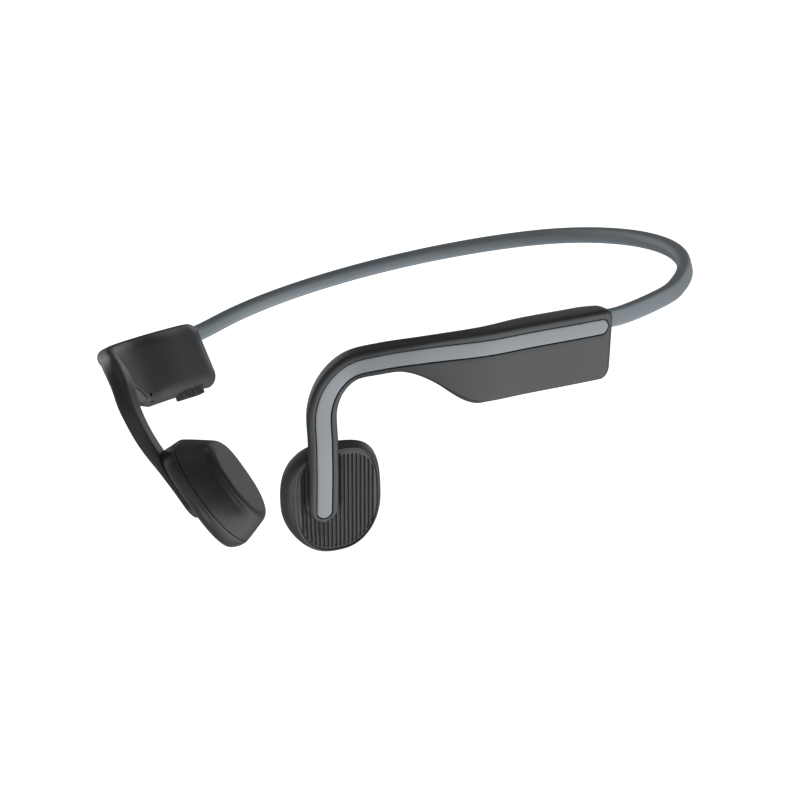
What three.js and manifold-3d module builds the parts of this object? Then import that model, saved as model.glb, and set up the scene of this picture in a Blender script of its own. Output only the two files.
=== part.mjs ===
// Open-ear bone conduction headphones: a sprung neckband, two pods behind the ears,
// two ear hooks, and two transducers that rest on the cheekbones.
// Millimetres. +X is the wearer's left, the wearer faces -Y, +Z is up.
// The left side is modelled, and the right side is its mirror image with its own electronics.
import * as THREE from 'three';
import Module from 'manifold-3d';
import { mergeVertices } from 'three/addons/utils/BufferGeometryUtils.js';

const wasm = await Module();
wasm.setup();

// ---------------------------------------------------------------- driving dimensions
const GAP = 0.3; // clearance between pieces that touch

// Neckband: half a superellipse in a plane that rises towards the nape.
const BAND_HALF_WIDTH = 84;
const BAND_DEPTH = 60;
const BAND_SQUARENESS = 1.85;
const BAND_RISE = 13.5; // height of the nape above the ear hooks
const BAND_REACH = 70; // distance forward over which the band comes down
const BAND_TOP = 2.1; // its top edge above the centre line
const BAND_HEIGHT = 4.55;
const BAND_THICKNESS = 4.0;
const BAND_SPLIT = 0.42; // share of the quarter curve that stays with the nape piece
const BAND_SPLIT_GAP = 0.7;
const BAND_IN_POD = 3; // how far the band runs into the pod
const WIRE_RADIUS = 0.55;
const WIRE_BORE_RADIUS = 0.95;

// Pod and ear hook: one continuous form swept along the arm's centre line.
const POD_REAR = new THREE.Vector3(81.6, -78.6, -1.1);
const POD_FRONT = new THREE.Vector3(70, -115, 0);
const ARM_END = new THREE.Vector3(24.2, -135.4, -41.1);
const ARM_ROUTE = [
  POD_REAR,
  new THREE.Vector3(78, -91, -0.7),
  new THREE.Vector3(74, -103, -0.3),
  POD_FRONT,
  new THREE.Vector3(61.5, -127, 0.85),
  new THREE.Vector3(52.5, -134.5, 0.85),
  new THREE.Vector3(45.5, -138.8, -0.2),
  new THREE.Vector3(40.5, -141.2, -4),
  new THREE.Vector3(37.3, -142.5, -9.6),
  new THREE.Vector3(34, -141, -19.3),
  new THREE.Vector3(30.3, -138.7, -28),
  ARM_END,
];
const POD_YAW = 18.4; // degrees: how far each outer face turns towards the front
const POD_LEAN = 17; // degrees: how far each outer face turns towards the floor
const EAR_YAW = 33;
const EAR_LEAN = 27;
const POD_LENGTH = 38;
const POD_TOP = 4.3; // from the strip's centre line to the pod's top
const POD_BOTTOM = 14.9;
const POD_KEEL = 1.3; // how much lower the underside is on the head side
const POD_OUTER = 1.8; // from the centre line to the outer face
const POD_INNER = 7.4;
const POD_CORNER = 3;
const POD_HOOK_JOIN = 60; // distance along the arm where the pod meets the hook
const ARM_HALF_WIDTH = 3.9;
const ARM_INNER = 3.7;
const ARM_SLIM = 2.1; // the same below the hook
const ARM_END_OUTER = 0.8;
const ARM_END_INNER = 1.5; // the arm's underside lies just above the transducer's plate
const LANDING_START = 30; // the arm thins down onto the transducer between these distances
const LANDING_END = 8;
const STRIP_WIDTH = 3.85;
const STRIP_DEPTH = 0.7;
const STRIP_START = 2;
const STRIP_END_MARGIN = 1.4;

// Pod's inner space, in the pod's own frame: x up, y forward, z outward.
const POCKET_LOW = -14;
const POCKET_HIGH = 3;
const POCKET_REAR = 2.8;
const POCKET_FRONT = 39;
const POCKET_FLOOR = -0.7;
const COVER_THICKNESS = 1.5;

// Right pod's port, on the slope between the pod's underside and the hook, and its two keys.
const PORT = { up: -12.3, forward: 46.4, across: -3.1, tilt: 35 };
const PORT_FLAP = { length: 11, width: 5.6, depth: 1.3 };
const PORT_OUTSIDE = -4; // well clear of the pod's skin
const RECEPTACLE = { length: 9, width: 3.2, depth: 6 };
const VOLUME = { first: 14, pitch: 6.3, length: 5.6, width: 3.4, lowest: -17.5, root: -13.6 };

// Transducer, in its own frame: x rearward, y up, z outward, origin on the outer plate.
const EAR_CENTRE = new THREE.Vector3(26, -132.6, -37.2);
const EAR_SQUARENESS = 2.5;
const EAR_CHIN = 0.1; // how much narrower the outline gets towards its lower end
const PLATE_HALF = { x: 11.3, y: 16.3 };
const RIM_HALF = { x: 13.4, y: 16.7 };
const PAD_HALF = { x: 8.6, y: 11.6 };
const RIM_DEPTH = 4;
const SPLIT_DEPTH = 4.7; // seam between the outer shell and the cheek pad
const EAR_DEPTH = 13.1;
const PAD_DROP = -1.7; // the pad's face sits a little below the plate's centre
const EAR_WALL = 1.3;
const BUTTON_INSET = 1.4;
const BUTTON_THICKNESS = 1.7;
const BUTTON_POCKET = 2.5;
const RIB_PITCH = 1.1;
const RIB_COUNT = 17;
const RIB_WIDTH = 0.55;
const RIB_HEIGHT = 0.35;
const EXCITER_RADIUS = 7;

// Boxes inside the pods, in the pod's own frame: sizes and centres as [up, forward, outward].
const FERRULE = { size: [3.4, 3, 3.4], centre: [0.6, 5.2, -3.4] }; // grips the band's end
const BATTERY = { size: [15, 28, 3.6], centre: [-5.8, 22.5, -2.9] };
const BATTERY_PAD = { size: [10, 20, 0.6], centre: [-5.8, 22.5, -5.3] };
const BATTERY_BOARD = { size: [2.2, 14, 0.6], centre: [1.6, 24, -5.3] };
const MAIN_BOARD = { size: [14, 26, 0.8], centre: [-5.2, 21.5, -1.5] };
const BLUETOOTH_CHIP = { size: [5, 5, 1], centre: [-2.5, 24, -2.7] };
const CHARGE_CHIP = { size: [3, 3, 0.9], centre: [-3, 13, -2.65] };
const MICROPHONE = { size: [1.1, 3, 2.4], centre: [-11.4, 36, -4.4] };
const MICROPHONE_HOLE = { radius: 0.6, length: 16 };
const VOLUME_SWITCH = { size: [0.9, 3.4, 2.6], up: -12.55, across: -3.7 };

// Boxes under the left button, in the transducer's own frame: [rearward, up, outward].
const BUTTON_SWITCH = { size: [4.4, 4.4, 1.4], centre: [0, 0, -3.1] };
const BUTTON_BOARD = { size: [5.8, 9, 0.5], centre: [0, 0, -4.35] };

// ---------------------------------------------------------------- materials
const surface = (color, roughness, metalness = 0) =>
  new THREE.MeshStandardMaterial({ color, roughness, metalness });
const materials = {
  band: () => surface(0x8a9196, 0.55),
  case: () => surface(0x46474a, 0.6),
  cover: () => surface(0x3c3d3f, 0.65),
  strip: () => surface(0x949a9e, 0.35),
  button: () => surface(0x4a4b4d, 0.5),
  pad: () => surface(0x3a3b3c, 0.7),
  wire: () => surface(0xa8aaad, 0.3, 1),
  steel: () => surface(0xb4b6b8, 0.35, 1),
  magnet: () => surface(0x8d9094, 0.3, 1),
  copper: () => surface(0xb4683a, 0.4, 1),
  battery: () => surface(0xb9bcc0, 0.45, 0.6),
  foam: () => surface(0x222222, 0.95),
  board: () => surface(0x1f5a35, 0.5),
  plastic: () => surface(0x18191a, 0.5),
};

// ---------------------------------------------------------------- solids
function solidOf(geometry) {
  const bare = geometry.clone();
  bare.deleteAttribute('normal');
  bare.deleteAttribute('uv');
  const merged = mergeVertices(bare, 1e-4);
  const mesh = new wasm.Mesh({
    numProp: 3,
    vertProperties: new Float32Array(merged.attributes.position.array),
    triVerts: new Uint32Array(merged.index.array),
  });
  return new wasm.Manifold(mesh);
}

// The largest body of a solid: a cut can leave specks with next to no volume beside it.
function geometryOf(solid) {
  const [largest] = solid.decompose().sort((a, b) => b.volume() - a.volume());
  const mesh = largest.getMesh();
  const geometry = new THREE.BufferGeometry();
  geometry.setAttribute('position', new THREE.BufferAttribute(mesh.vertProperties, 3));
  geometry.setIndex(new THREE.BufferAttribute(mesh.triVerts, 1));
  return geometry;
}

const cut = (geometry, ...tools) =>
  geometryOf(tools.reduce((left, tool) => left.subtract(solidOf(tool)), solidOf(geometry)));
const common = (geometry, ...others) =>
  geometryOf(others.reduce((left, other) => left.intersect(solidOf(other)), solidOf(geometry)));

// A closed skin over rings that hold equally many points, with a fan over each end.
function loft(rings) {
  const count = rings[0].length;
  const points = rings.flat();
  const triangles = [];
  for (let ring = 0; ring + 1 < rings.length; ring += 1) {
    for (let i = 0; i < count; i += 1) {
      const a = ring * count + i;
      const b = ring * count + ((i + 1) % count);
      triangles.push(a, b, b + count, a, b + count, a + count);
    }
  }
  const ends = [[rings[0], 0, -1], [rings.at(-1), (rings.length - 1) * count, 1]];
  for (const [ring, first, side] of ends) {
    const middle = ring.reduce((sum, p) => sum.add(p), new THREE.Vector3()).divideScalar(count);
    const centre = points.push(middle) - 1;
    for (let i = 0; i < count; i += 1) {
      const a = first + i;
      const b = first + ((i + 1) % count);
      triangles.push(...(side > 0 ? [a, b, centre] : [b, a, centre]));
    }
  }
  const geometry = new THREE.BufferGeometry().setFromPoints(points);
  geometry.setIndex(triangles);
  return facingOut(geometry);
}

// Turns the triangles round when the skin encloses a negative volume.
function facingOut(geometry) {
  const position = geometry.attributes.position;
  const index = geometry.index.array;
  const [a, b, c] = [new THREE.Vector3(), new THREE.Vector3(), new THREE.Vector3()];
  let volume = 0;
  for (let i = 0; i < index.length; i += 3) {
    a.fromBufferAttribute(position, index[i]);
    b.fromBufferAttribute(position, index[i + 1]);
    c.fromBufferAttribute(position, index[i + 2]);
    volume += a.dot(b.cross(c));
  }
  if (volume < 0) {
    for (let i = 0; i < index.length; i += 3) {
      [index[i + 1], index[i + 2]] = [index[i + 2], index[i + 1]];
    }
  }
  return geometry;
}

const radians = THREE.MathUtils.degToRad;
const smooth = (x, from, to) => THREE.MathUtils.smoothstep(x, from, to);
const spread = (steps, from, to) =>
  Array.from({ length: steps + 1 }, (_, i) => from + ((to - from) * i) / steps);

// Points round a rounded rectangle, as [across, up] pairs, with a radius for each side.
const CORNER_STEPS = 2;
function roundedOutline({ outer, inner, top, bottom, outerRadius, innerRadius, keel = 0 }) {
  const corners = [
    { x: outer, y: top, sx: 1, sy: 1, r: outerRadius, start: 0 },
    { x: -inner, y: top, sx: -1, sy: 1, r: innerRadius, start: 90 },
    { x: -inner, y: -bottom - keel, sx: -1, sy: -1, r: innerRadius, start: 180 },
    { x: outer, y: -bottom, sx: 1, sy: -1, r: outerRadius, start: 270 },
  ];
  return corners.flatMap(({ x, y, sx, sy, r, start }) =>
    spread(CORNER_STEPS, start, start + 90).map((angle) => [
      x - sx * r + r * Math.cos(radians(angle)),
      y - sy * r + r * Math.sin(radians(angle)),
    ]));
}

function circle(radius, count = 6) {
  return spread(count, 0, 360).slice(0, -1)
    .map((angle) => [radius * Math.cos(radians(angle)), radius * Math.sin(radians(angle))]);
}

// ---------------------------------------------------------------- the arm's moving frame
const armCurve = new THREE.CatmullRomCurve3(ARM_ROUTE, false, 'centripetal');
armCurve.arcLengthDivisions = 800;
const ARM_LENGTH = armCurve.getLength();

// The outward direction of a face that is turned forward by yaw and down by lean.
function outward(yaw, lean) {
  const level = Math.cos(radians(lean));
  return new THREE.Vector3(
    Math.cos(radians(yaw)) * level, -Math.sin(radians(yaw)) * level, -Math.sin(radians(lean)));
}

function armFrame(distance) {
  const along = distance / ARM_LENGTH;
  const place = armCurve.getPointAt(along);
  const forward = armCurve.getTangentAt(along);
  const turn = smooth(distance, POD_LENGTH, ARM_LENGTH - 20);
  const out = outward(
    THREE.MathUtils.lerp(POD_YAW, EAR_YAW, turn), THREE.MathUtils.lerp(POD_LEAN, EAR_LEAN, turn));
  out.addScaledVector(forward, -out.dot(forward)).normalize();
  const up = new THREE.Vector3().crossVectors(forward, out);
  return { place, forward, out, up };
}

function onArm(distance, outline) {
  const { place, out, up } = armFrame(distance);
  return outline.map(([across, high]) =>
    place.clone().addScaledVector(out, across).addScaledVector(up, high));
}

// How far the arm's outer face is from its centre line.
function armOuter(distance) {
  const landing = smooth(distance, ARM_LENGTH - LANDING_START, ARM_LENGTH - LANDING_END);
  return THREE.MathUtils.lerp(POD_OUTER, ARM_END_OUTER, landing);
}

// The arm's cross-section, grown by a clearance, at a distance from the pod's rear end.
function armOutline(distance, grow = 0) {
  const hook = smooth(distance, POD_LENGTH, POD_LENGTH + 24);
  const rear = Math.max(0, 1 - distance / POD_CORNER);
  const tuck = POD_CORNER * (1 - Math.sqrt(Math.max(0, 1 - rear * rear)));
  const slim = smooth(distance, ARM_LENGTH - 58, ARM_LENGTH - 26);
  const thin = smooth(distance, ARM_LENGTH - 22, ARM_LENGTH - 14);
  const tipDistance = Math.max(0, distance - (ARM_LENGTH - ARM_HALF_WIDTH));
  const tip = Math.sqrt(Math.max(0.04, 1 - (tipDistance / ARM_HALF_WIDTH) ** 2));
  const bulge = (1 - smooth(distance, 20, 56)) * smooth(distance, -6, 8);
  const lerp = THREE.MathUtils.lerp;
  const outer = armOuter(distance);
  const hooked = lerp(lerp(ARM_INNER, POD_INNER, bulge), ARM_SLIM, slim);
  const inner = lerp(hooked, ARM_END_INNER, thin);
  const thickness = outer + inner;
  return roundedOutline({
    outer: outer - tuck * 0.4 + grow,
    inner: inner - tuck * 0.6 + grow,
    top: lerp(POD_TOP, ARM_HALF_WIDTH, hook) * tip - tuck * 0.6 + grow,
    bottom: lerp(POD_BOTTOM, ARM_HALF_WIDTH, hook) * tip - tuck + grow,
    outerRadius: Math.min(1.4, thickness * 0.45),
    innerRadius: Math.min(lerp(3.4, 4.4, bulge), thickness * 0.5),
    keel: POD_KEEL * (1 - hook) * (1 - tuck / POD_CORNER),
  });
}

const sweepArm = (stations, grow = 0) =>
  loft(stations.map((distance) => onArm(distance, armOutline(distance, grow))));

// ---------------------------------------------------------------- the neckband
// quarter runs from 0 at the nape to 1 where the band turns down beside the pod.
function bandPoint(quarter) {
  const angle = radians(90 * quarter);
  const x = BAND_HALF_WIDTH * Math.sin(angle) ** (2 / BAND_SQUARENESS);
  const y = -BAND_DEPTH * (1 - Math.cos(angle) ** (2 / BAND_SQUARENESS));
  return new THREE.Vector3(x, y, BAND_RISE * (1 + y / BAND_REACH));
}

const podTurn = armFrame(0);
const podMatrix = new THREE.Matrix4().makeBasis(podTurn.up, podTurn.forward, podTurn.out)
  .setPosition(POD_REAR);
const BAND_LIFT = 1.0; // the band enters the pod a little above the strip's centre line
const BAND_INBOARD = 2.0;
const bandEntry = new THREE.Vector3(BAND_LIFT, BAND_IN_POD, -BAND_INBOARD).applyMatrix4(podMatrix);
const bandMouth = new THREE.Vector3(BAND_LIFT, -4, -BAND_INBOARD).applyMatrix4(podMatrix);

const BAND_STATIONS = [0.0, 0.08, 0.17, 0.27, 0.36, 0.46, 0.56, 0.66, 0.76, 0.86, 0.95];
const bandCurve = new THREE.CatmullRomCurve3(
  [...BAND_STATIONS.slice(1).reverse().map(bandPoint), ...BAND_STATIONS.map(bandPoint)]
    .map((p, i) => (i < BAND_STATIONS.length - 1 ? p.setX(-p.x) : p))
    .concat([bandMouth, bandEntry]),
  false, 'centripetal');
bandCurve.points.unshift(
  bandEntry.clone().setX(-bandEntry.x), bandMouth.clone().setX(-bandMouth.x));
bandCurve.arcLengthDivisions = 1200;
const BAND_LENGTH = bandCurve.getLength();

function bandFrame(distance) {
  const along = THREE.MathUtils.clamp(0.5 + distance / BAND_LENGTH, 0, 1);
  const place = bandCurve.getPointAt(along);
  const forward = bandCurve.getTangentAt(along);
  const planeUp = new THREE.Vector3(0, -BAND_RISE / BAND_REACH, 1).normalize();
  const out = new THREE.Vector3().crossVectors(planeUp, forward).normalize();
  const up = new THREE.Vector3().crossVectors(forward, out);
  return { place, out, up };
}

// Flat on the outside of the head, round on the inside.
const bandOutline = (grow = 0) => roundedOutline({
  outer: BAND_THICKNESS / 2 + grow,
  inner: BAND_THICKNESS / 2 + grow,
  top: BAND_TOP + grow,
  bottom: BAND_HEIGHT - BAND_TOP + grow,
  outerRadius: 0.8,
  innerRadius: 1.9,
});

function sweepBand(from, to, steps, outline) {
  return loft(spread(steps, from, to).map((distance) => {
    const { place, out, up } = bandFrame(distance);
    return outline.map(([across, high]) =>
      place.clone().addScaledVector(out, across).addScaledVector(up, high));
  }));
}

const bandSplit = BAND_LENGTH * BAND_SPLIT / 2;
const bandEnd = BAND_LENGTH / 2;
const wireReach = bandEnd - 8;
const boredBand = (from, to, steps) => cut(
  sweepBand(from, to, steps, bandOutline()),
  sweepBand(from - 1, Math.min(to + 1, bandEnd), steps, circle(WIRE_BORE_RADIUS)));

// ---------------------------------------------------------------- assembly helpers
const headphones = new THREE.Group();
const leftSide = new THREE.Group();
const rightSide = new THREE.Group();
rightSide.scale.x = -1;
headphones.add(leftSide, rightSide);
const sides = [['left', leftSide], ['right', rightSide]];

function addPiece(group, name, geometry, material) {
  const mesh = new THREE.Mesh(geometry, material());
  mesh.name = name;
  group.add(mesh);
  return mesh;
}

function boxOf({ size, centre }) {
  return new THREE.BoxGeometry(...size).translate(...centre);
}

function frameGroup(parent, matrix) {
  const group = new THREE.Group();
  group.applyMatrix4(matrix);
  parent.add(group);
  return group;
}

// ---------------------------------------------------------------- neckband pieces
addPiece(headphones, 'neckband_rear',
  boredBand(-bandSplit + BAND_SPLIT_GAP / 2, bandSplit - BAND_SPLIT_GAP / 2, 16), materials.band);
addPiece(headphones, 'neckband_wire',
  sweepBand(-wireReach, wireReach, 34, circle(WIRE_RADIUS)), materials.wire);
for (const [side, group] of sides) {
  addPiece(group, `neckband_${side}`,
    boredBand(bandSplit + BAND_SPLIT_GAP / 2, bandEnd, 15), materials.band);
}

// ---------------------------------------------------------------- pod case, cover and hook
const podStations = [
  0, 0.4, 1.1, 2, 3, 6, 10, 16, 24, 32, 38, 42, 46, 50, 54, 57, POD_HOOK_JOIN - GAP,
];
const hookStations = [
  ...spread(8, POD_HOOK_JOIN, ARM_LENGTH - 30), ...spread(3, ARM_LENGTH - 26, ARM_LENGTH - 17),
  ...spread(2, ARM_LENGTH - 14, ARM_LENGTH - ARM_HALF_WIDTH),
  ARM_LENGTH - 2.8, ARM_LENGTH - 1.5, ARM_LENGTH - 0.6, ARM_LENGTH,
];
const podForm = () => sweepArm(podStations);

function stripForm(grow) {
  const start = STRIP_START - grow;
  const end = ARM_LENGTH - STRIP_END_MARGIN + grow;
  const half = STRIP_WIDTH / 2 + grow;
  const stations = [
    ...spread(3, start, start + half), ...spread(24, start + half + 3, end - half - 3),
    ...spread(3, end - half, end),
  ];
  return loft(stations.map((distance) => {
    const fromEnd = Math.min(distance - start, end - distance);
    const round = Math.min(1, fromEnd / half);
    const width = half * Math.sqrt(Math.max(0.02, 1 - (1 - round) ** 2));
    const reached = THREE.MathUtils.clamp(distance, 0, ARM_LENGTH);
    const outer = armOuter(reached);
    const face = outer - (grow ? -1 : 0.05);
    const floor = outer - STRIP_DEPTH - grow;
    return onArm(reached, [[face, width], [floor, width], [floor, -width], [face, -width]]);
  }));
}

// A prism in the pod's frame whose outline is [up, forward] points, between two heights.
function podPrism(outline, low, high) {
  const shape = new THREE.Shape(outline.map(([up, forward]) => new THREE.Vector2(up, forward)));
  const geometry = new THREE.ExtrudeGeometry(
    shape, { depth: high - low, bevelEnabled: false, steps: 1 });
  return geometry.translate(0, 0, low).applyMatrix4(podMatrix);
}

const pocketOutline = (inset) => [
  [POCKET_LOW + inset, POCKET_REAR + inset],
  [POCKET_HIGH - inset, POCKET_REAR + inset],
  [POCKET_HIGH - inset, POCKET_FRONT - inset],
  [POCKET_LOW + 2 + inset, POCKET_FRONT - inset],
  [POCKET_LOW + inset, POCKET_FRONT - 2 - inset],
];
const pocket = podPrism(pocketOutline(0), -20, POCKET_FLOOR);
const coverPrism = podPrism(pocketOutline(GAP), -20, -POD_INNER + COVER_THICKNESS);
const bandSocket = sweepBand(bandEnd - 12, bandEnd, 4, bandOutline(GAP));
const stripGroove = stripForm(GAP);

const hookWireStart = POD_HOOK_JOIN + 1;
const hookWireEnd = ARM_LENGTH - 30;
const hookBoreOffset = -0.6;
function hookRod(from, to, radius) {
  const outline = circle(radius).map(([across, high]) => [across + hookBoreOffset, high]);
  return loft(spread(10, from, to).map((distance) => onArm(distance, outline)));
}

for (const [side, group] of sides) {
  const podTools = [pocket, bandSocket, stripGroove];
  if (side === 'right') {
    podTools.push(...rightPodOpenings());
  }
  addPiece(group, `${side}_pod_case`, cut(podForm(), ...podTools), materials.case);
  addPiece(group, `${side}_pod_cover`, common(podForm(), coverPrism), materials.cover);
  addPiece(group, `${side}_ear_hook`,
    cut(sweepArm(hookStations), stripGroove,
      hookRod(POD_HOOK_JOIN - 1, hookWireEnd + 1, WIRE_BORE_RADIUS)), materials.case);
  addPiece(group, `${side}_accent_strip`, stripForm(0), materials.strip);
  addPiece(group, `${side}_hook_wire`,
    hookRod(hookWireStart, hookWireEnd, WIRE_RADIUS), materials.wire);
  addFerrule(group, side);
}

// Brass sleeve that grips the band's end inside the pod.
function addFerrule(group, side) {
  const pod = frameGroup(group, podMatrix);
  addPiece(pod, `${side}_band_ferrule`, boxOf(FERRULE), materials.magnet);
}

// ---------------------------------------------------------------- left pod: the battery
function addBattery() {
  const pod = frameGroup(leftSide, podMatrix);
  addPiece(pod, 'left_battery', boxOf(BATTERY), materials.battery);
  addPiece(pod, 'left_battery_pad', boxOf(BATTERY_PAD), materials.foam);
  addPiece(pod, 'left_battery_board', boxOf(BATTERY_BOARD), materials.board);
}
addBattery();

// ---------------------------------------------------------------- right pod: electronics
// A box on the slope: long runs up the slope, deep runs into the pod from the surface.
function slopeBox(long, wide, from, to) {
  const box = new THREE.BoxGeometry(to - from, long, wide);
  box.translate((from + to) / 2, 0, 0);
  box.rotateZ(radians(-PORT.tilt));
  return box.translate(PORT.up, PORT.forward, PORT.across);
}

function inPod(geometry) {
  return geometry.applyMatrix4(podMatrix);
}

function volumeBox(index, grow, low, high) {
  const box = new THREE.BoxGeometry(high - low, VOLUME.length + 2 * grow, VOLUME.width + 2 * grow);
  return box.translate((low + high) / 2, VOLUME.first + index * VOLUME.pitch, PORT.across);
}

function rightPodOpenings() {
  const flap = [PORT_FLAP.length + 2 * GAP, PORT_FLAP.width + 2 * GAP];
  const socket = [RECEPTACLE.length + 2 * GAP, RECEPTACLE.width + 2 * GAP];
  const tunnel = 2 * RECEPTACLE.depth + 2;
  return [
    inPod(slopeBox(...flap, PORT_OUTSIDE, PORT_FLAP.depth + GAP)),
    inPod(slopeBox(...socket, -1, tunnel)),
    ...[0, 1].map((index) => inPod(volumeBox(index, GAP, -20, -10))),
    inPod(microphoneHole()),
  ];
}

function microphoneHole() {
  const { radius, length } = MICROPHONE_HOLE;
  const [up, forward, across] = MICROPHONE.centre;
  const hole = new THREE.CylinderGeometry(radius, radius, length, 8).rotateZ(radians(90));
  return hole.translate(up + 3.4, forward, across);
}

function addElectronics() {
  const pod = frameGroup(rightSide, podMatrix);
  addPiece(pod, 'right_main_board', boxOf(MAIN_BOARD), materials.board);
  addPiece(pod, 'right_bluetooth_chip', boxOf(BLUETOOTH_CHIP), materials.plastic);
  addPiece(pod, 'right_charge_chip', boxOf(CHARGE_CHIP), materials.plastic);
  addPiece(pod, 'right_microphone', boxOf(MICROPHONE), materials.steel);
  addPiece(pod, 'right_usb_c_receptacle', receptacle(), materials.steel);
  const names = ['volume_up', 'volume_down'];
  names.forEach((name, index) => {
    addPiece(pod, `${name}_button`, volumeBox(index, 0, VOLUME.lowest, VOLUME.root),
      materials.button);
    const forward = VOLUME.first + index * VOLUME.pitch;
    const { size, up, across } = VOLUME_SWITCH;
    addPiece(pod, `${name}_switch`, boxOf({ size, centre: [up, forward, across] }), materials.steel);
  });
}

// A metal sleeve with an open mouth and a tongue.
function receptacle() {
  const { length, width, depth } = RECEPTACLE;
  const start = PORT_FLAP.depth + GAP * 2;
  return cut(
    slopeBox(length, width, start, start + depth),
    slopeBox(length - 0.6, width - 0.6, start - 1, start + depth - 1));
}
addElectronics();

// The flap is the piece of the pod's own skin that closes the port.
addPiece(rightSide, 'right_port_cover',
  common(podForm(), inPod(slopeBox(PORT_FLAP.length, PORT_FLAP.width, PORT_OUTSIDE, PORT_FLAP.depth))),
  materials.cover);

// ---------------------------------------------------------------- transducers
const earOut = outward(EAR_YAW, EAR_LEAN);
const earUp = new THREE.Vector3(0, 0, 1);
earUp.addScaledVector(earOut, -earUp.dot(earOut)).normalize();
const earRear = new THREE.Vector3().crossVectors(earUp, earOut);
const earMatrix = new THREE.Matrix4().makeBasis(earRear, earUp, earOut).setPosition(EAR_CENTRE);
const toEar = earMatrix.clone().invert();

const EAR_POINTS = 20;
function earRing(half, depth, inset = 0, drop = 0) {
  const power = 2 / EAR_SQUARENESS;
  return spread(EAR_POINTS, 0, 360).slice(0, -1).map((angle) => {
    const c = Math.cos(radians(angle));
    const s = Math.sin(radians(angle));
    const waist = s < 0 ? 1 - EAR_CHIN * s * s : 1;
    return new THREE.Vector3(
      (half.x - inset) * Math.sign(c) * Math.abs(c) ** power * waist,
      (half.y - inset) * Math.sign(s) * Math.abs(s) ** power + drop, -depth);
  });
}

// The housing's outline at a depth below the outer plate, drawn in by an inset.
function housingRing(depth, inset = 0) {
  const flare = Math.sin(radians(90 * Math.min(1, depth / RIM_DEPTH)));
  const taper = Math.max(0, (depth - RIM_DEPTH) / (EAR_DEPTH - RIM_DEPTH));
  const round = 1 - Math.sqrt(Math.max(0, 1 - Math.max(0, taper * 1.12 - 0.12) ** 2.2));
  const lerp = THREE.MathUtils.lerp;
  const narrow = 0.45 * taper + 0.55 * Math.min(1, round);
  const half = {
    x: lerp(lerp(PLATE_HALF.x, RIM_HALF.x, flare), PAD_HALF.x, narrow),
    y: lerp(lerp(PLATE_HALF.y, RIM_HALF.y, flare), PAD_HALF.y, narrow),
  };
  return earRing(half, depth, inset, PAD_DROP * taper);
}

const housing = (from, to, steps, inset = 0) =>
  loft(spread(steps, from, to).map((depth) => housingRing(depth, inset)));
const earPrism = (half, from, to) => loft([earRing(half, from), earRing(half, to)]);
const buttonHalf = (extra = 0) => ({
  x: PLATE_HALF.x - BUTTON_INSET + extra, y: PLATE_HALF.y - BUTTON_INSET + extra,
});

// The arm's lower end, grown by a clearance and seen from the transducer's own frame.
const landingStations = [
  ...spread(6, ARM_LENGTH - 36, ARM_LENGTH - ARM_HALF_WIDTH),
  ARM_LENGTH - 2.8, ARM_LENGTH - 1.5, ARM_LENGTH - 0.6, ARM_LENGTH,
];
const armClearance = (grow) => sweepArm(landingStations, grow).applyMatrix4(toEar);

// The shell that the hook is moulded to: a ring with a web under the outer plate.
function transducerShell() {
  const web = 1.1;
  const hole = new THREE.BoxGeometry(7, 7, 4).translate(0, 0, -BUTTON_POCKET - web / 2);
  return cut(
    housing(0, SPLIT_DEPTH - GAP, 5),
    earPrism(buttonHalf(GAP), -1, BUTTON_POCKET),
    earPrism({ x: RIM_HALF.x - 2, y: RIM_HALF.y - 2 }, BUTTON_POCKET + web, SPLIT_DEPTH + 1),
    hole, armClearance(GAP));
}

function ribbedPlate() {
  let plate = solidOf(earPrism(buttonHalf(), 0.1, 0.1 + BUTTON_THICKNESS));
  const bounds = solidOf(earPrism(buttonHalf(-0.9), -1, 1));
  for (let i = 0; i < RIB_COUNT; i += 1) {
    const x = (i - (RIB_COUNT - 1) / 2) * RIB_PITCH;
    const rib = new THREE.BoxGeometry(RIB_WIDTH, 2 * PLATE_HALF.y, RIB_HEIGHT + 0.5);
    rib.translate(x, 0, (RIB_HEIGHT - 0.5) / 2 - 0.1);
    plate = plate.add(solidOf(rib).intersect(bounds));
  }
  return geometryOf(plate.subtract(solidOf(armClearance(0.5))));
}

function cheekPad() {
  return cut(
    housing(SPLIT_DEPTH, EAR_DEPTH, 7),
    loft(spread(5, SPLIT_DEPTH - 0.5, EAR_DEPTH - EAR_WALL).map((depth) =>
      housingRing(depth, EAR_WALL + 0.3))));
}

// A closed ring or disc turned about the transducer's axis, from [radius, z] points.
function turned(profile, closed = true) {
  const points = profile.map(([radius, z]) => new THREE.Vector2(radius, z));
  if (closed) {
    points.push(points[0].clone());
  }
  return facingOut(weld(new THREE.LatheGeometry(points, 16).rotateX(Math.PI / 2)));
}

function weld(geometry) {
  geometry.deleteAttribute('normal');
  geometry.deleteAttribute('uv');
  return geometryOf(solidOf(facingOut(mergeVertices(geometry, 1e-4))));
}

const disc = (radius, low, high) => turned([[0, low], [radius, low], [radius, high], [0, high]], false);
const ring = (inside, outside, low, high) =>
  turned([[inside, low], [outside, low], [outside, high], [inside, high]]);

const YOKE_BASE = -5.2;
const YOKE_LIP = -9.4;

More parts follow.
